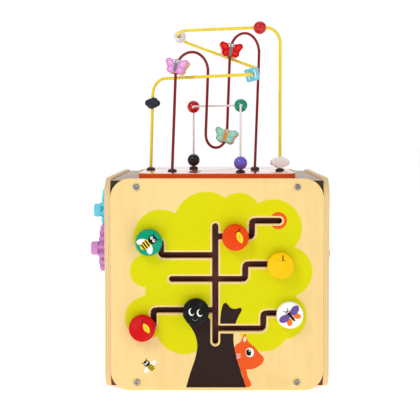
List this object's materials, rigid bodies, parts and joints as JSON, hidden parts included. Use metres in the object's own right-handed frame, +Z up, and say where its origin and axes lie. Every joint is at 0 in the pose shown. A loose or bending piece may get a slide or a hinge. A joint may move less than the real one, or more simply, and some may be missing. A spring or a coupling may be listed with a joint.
{
  "type": "activity cube",
  "caption": "Wooden activity cube with a sliding maze, gears, a toy clock, turning blocks and a wire bead maze on top.",
  "frame": {"origin": "on the floor, under the middle of the whole toy", "axes": "+X to the right as seen from the sliding maze, +Y from the sliding maze towards the turning blocks, +Z up"},
  "size_m": [0.3738, 0.3269, 0.5348],
  "materials": {
    "birch_ply": "satin lacquer",
    "natural_wood": "satin",
    "dark_board": "matt stain",
    "grey_board": "satin",
    "screw_steel": "satin",
    "orange_red_paint": "gloss paint",
    "yellow_coat": "gloss",
    "dark_red_coat": "gloss",
    "white_coat": "gloss",
    "black_rubber": "satin",
    "slate_paint": "gloss paint",
    "white_paint": "gloss paint",
    "red_paint": "gloss paint",
    "black_paint": "gloss paint",
    "purple_paint": "gloss paint",
    "green_paint": "gloss paint",
    "sky_paint": "gloss paint",
    "pink_paint": "gloss paint",
    "mint_paint": "gloss paint",
    "teal_paint": "gloss paint",
    "orange_paint": "gloss paint",
    "yellow_paint": "gloss paint",
    "lilac_paint": "gloss paint",
    "turquoise_paint": "gloss paint",
    "dark_green_paint": "gloss paint"
  },
  "bodies": {
    "cube": {"front_panel": "birch_ply", "rear_panel": "birch_ply", "left_panel": "birch_ply", "right_panel": "birch_ply", "top_board": "grey_board", "base_board": "dark_board", "panel_screws": "screw_steel", "maze_back_board": "dark_board", "maze_plate": "orange_red_paint", "plate_screws": "screw_steel", "wire_caps": "black_rubber", "yellow_wire": "yellow_coat", "red_wire": "dark_red_coat", "white_wire": "white_coat", "gear_axles": "natural_wood", "gear_spacers": "natural_wood", "clock_axle": "natural_wood", "clock_washer": "natural_wood", "block_rod": "natural_wood", "block_brackets": "natural_wood"},
    "slate_cloud": {"bead_slate_cloud": "slate_paint"},
    "white_cloud": {"bead_white_cloud": "white_paint"},
    "high_red_ball": {"bead_red_ball_high": "red_paint"},
    "black_ball": {"bead_black_ball": "black_paint"},
    "purple_ball": {"bead_purple_ball": "purple_paint"},
    "white_ball": {"bead_white_ball": "white_paint"},
    "low_red_ball": {"bead_red_ball_low": "red_paint"},
    "green_ball": {"bead_green_ball": "green_paint"},
    "blue_cube": {"bead_blue_cube": "sky_paint"},
    "pink_butterfly": {"butterfly_pink": "pink_paint"},
    "red_butterfly": {"butterfly_red": "red_paint"},
    "mint_butterfly": {"butterfly_mint": "mint_paint"},
    "teal_carrier": {"carrier_teal": "natural_wood"},
    "teal_knob": {"knob_teal": "teal_paint"},
    "orange_carrier": {"carrier_orange": "natural_wood"},
    "orange_knob": {"knob_orange": "orange_paint"},
    "yellow_carrier": {"carrier_yellow": "natural_wood"},
    "yellow_knob": {"knob_yellow": "yellow_paint"},
    "red_carrier": {"carrier_red": "natural_wood"},
    "red_knob": {"knob_red": "red_paint"},
    "black_carrier": {"carrier_black": "natural_wood"},
    "black_knob": {"knob_black": "black_paint"},
    "white_carrier": {"carrier_white": "natural_wood"},
    "white_knob": {"knob_white": "white_paint"},
    "lilac_gear": {"gear_lilac": "lilac_paint", "crank_lilac": "lilac_paint"},
    "turquoise_gear": {"gear_turquoise": "turquoise_paint", "crank_turquoise": "turquoise_paint"},
    "green_gear": {"gear_green": "dark_green_paint", "crank_green": "dark_green_paint"},
    "hour_hand": {"hour_hand": "red_paint"},
    "minute_hand": {"minute_hand": "teal_paint", "minute_knob": "natural_wood"},
    "left_block": {"turning_block_left": "yellow_paint"},
    "middle_block": {"turning_block_middle": "turquoise_paint"},
    "right_block": {"turning_block_right": "red_paint"}
  },
  "joints": [
    {"name": "slate_cloud_slide", "type": "slide", "parent": "cube", "child": "slate_cloud", "axis": [0.0289, 0, 0.9996], "range_m": [-0.091, 0.004]},
    {"name": "white_cloud_slide", "type": "slide", "parent": "cube", "child": "white_cloud", "axis": [0, 0, 1], "range_m": [0, 0.17]},
    {"name": "high_red_ball_slide", "type": "slide", "parent": "cube", "child": "high_red_ball", "axis": [0.9843, -0.1751, 0.0211], "range_m": [-0.085, 0]},
    {"name": "black_ball_slide", "type": "slide", "parent": "cube", "child": "black_ball", "axis": [0, 0, 1], "range_m": [0, 0.065]},
    {"name": "purple_ball_slide", "type": "slide", "parent": "cube", "child": "purple_ball", "axis": [0, 0, 1], "range_m": [0, 0.065]},
    {"name": "white_ball_spin", "type": "hinge", "parent": "cube", "child": "white_ball", "pos_m": [-0.06009, 0.04803, 0.51717], "axis": [-0.1322, -0.9853, 0.1081], "continuous": true},
    {"name": "low_red_ball_spin", "type": "hinge", "parent": "cube", "child": "low_red_ball", "pos_m": [-0.03768, 0.03357, 0.4045], "axis": [0.0194, -0.9998, 0], "continuous": true},
    {"name": "green_ball_spin", "type": "hinge", "parent": "cube", "child": "green_ball", "pos_m": [0.03581, -0.05472, 0.4045], "axis": [-0.0468, -0.9989, 0], "continuous": true},
    {"name": "blue_cube_spin", "type": "hinge", "parent": "cube", "child": "blue_cube", "pos_m": [0.05248, -0.06444, 0.45005], "axis": [0.1045, 0.9924, 0.0653], "continuous": true},
    {"name": "pink_butterfly_swivel", "type": "hinge", "parent": "cube", "child": "pink_butterfly", "pos_m": [-0.06071, -0.0387, 0.4635], "axis": [0.2084, 0.1228, 0.9703], "range_deg": [-60, 60]},
    {"name": "red_butterfly_swivel", "type": "hinge", "parent": "cube", "child": "red_butterfly", "pos_m": [0.02126, 0.00959, 0.493], "axis": [0.1199, 0.0706, 0.9903], "range_deg": [-12, 12]},
    {"name": "mint_butterfly_swivel", "type": "hinge", "parent": "cube", "child": "mint_butterfly", "pos_m": [0.01422, 0.00544, 0.358], "axis": [0.2519, 0.1484, 0.9563], "range_deg": [-40, 40]},
    {"name": "teal_knob_slide", "type": "slide", "parent": "cube", "child": "teal_carrier", "axis": [1, 0, 0], "range_m": [0, 0.0136]},
    {"name": "teal_knob_spin", "type": "hinge", "parent": "teal_carrier", "child": "teal_knob", "pos_m": [-0.095, -0.155, 0.2116], "axis": [0, 1, 0], "continuous": true},
    {"name": "orange_knob_slide", "type": "slide", "parent": "cube", "child": "orange_carrier", "axis": [1, 0, 0], "range_m": [-0.028, 0.0208]},
    {"name": "orange_knob_spin", "type": "hinge", "parent": "orange_carrier", "child": "orange_knob", "pos_m": [0.0256, -0.155, 0.2186], "axis": [0, 1, 0], "continuous": true},
    {"name": "yellow_knob_slide", "type": "slide", "parent": "cube", "child": "yellow_carrier", "axis": [1, 0, 0], "range_m": [-0.0463, 0]},
    {"name": "yellow_knob_spin", "type": "hinge", "parent": "yellow_carrier", "child": "yellow_knob", "pos_m": [0.0887, -0.155, 0.1794], "axis": [0, 1, 0], "continuous": true},
    {"name": "red_knob_slide", "type": "slide", "parent": "cube", "child": "red_carrier", "axis": [1, 0, 0], "range_m": [0, 0.0124]},
    {"name": "red_knob_spin", "type": "hinge", "parent": "red_carrier", "child": "red_knob", "pos_m": [-0.1045, -0.155, 0.0913], "axis": [0, 1, 0], "continuous": true},
    {"name": "black_knob_slide", "type": "slide", "parent": "cube", "child": "black_carrier", "axis": [1, 0, 0], "range_m": [-0.03, 0.027]},
    {"name": "black_knob_spin", "type": "hinge", "parent": "black_carrier", "child": "black_knob", "pos_m": [-0.0294, -0.155, 0.1144], "axis": [0, 1, 0], "continuous": true},
    {"name": "white_knob_slide", "type": "slide", "parent": "cube", "child": "white_carrier", "axis": [1, 0, 0], "range_m": [-0.0339, 0]},
    {"name": "white_knob_spin", "type": "hinge", "parent": "white_carrier", "child": "white_knob", "pos_m": [0.1017, -0.155, 0.1099], "axis": [0, 1, 0], "continuous": true},
    {"name": "lilac_gear_spin", "type": "hinge", "parent": "cube", "child": "lilac_gear", "pos_m": [-0.172, -0.033, 0.187], "axis": [1, 0, 0], "continuous": true},
    {"name": "turquoise_gear_spin", "type": "hinge", "parent": "cube", "child": "turquoise_gear", "pos_m": [-0.172, 0.0011, 0.24116], "axis": [1, 0, 0], "continuous": true},
    {"name": "green_gear_spin", "type": "hinge", "parent": "cube", "child": "green_gear", "pos_m": [-0.172, 0.06041, 0.23208], "axis": [1, 0, 0], "continuous": true},
    {"name": "hour_hand_spin", "type": "hinge", "parent": "cube", "child": "hour_hand", "pos_m": [0.162, 0, 0.15], "axis": [1, 0, 0], "continuous": true},
    {"name": "minute_hand_spin", "type": "hinge", "parent": "cube", "child": "minute_hand", "pos_m": [0.165, 0, 0.15], "axis": [1, 0, 0], "continuous": true},
    {"name": "left_block_spin", "type": "hinge", "parent": "cube", "child": "left_block", "pos_m": [-0.057, 0.135, 0.15], "axis": [1, 0, 0], "continuous": true},
    {"name": "middle_block_spin", "type": "hinge", "parent": "cube", "child": "middle_block", "pos_m": [0, 0.135, 0.15], "axis": [1, 0, 0], "continuous": true},
    {"name": "right_block_spin", "type": "hinge", "parent": "cube", "child": "right_block", "pos_m": [0.057, 0.135, 0.15], "axis": [1, 0, 0], "continuous": true}
  ],
  "couplings": [
    {"joint": "turquoise_gear_spin", "follows": "lilac_gear_spin", "ratio": -1},
    {"joint": "green_gear_spin", "follows": "lilac_gear_spin", "ratio": 1.1429}
  ]
}
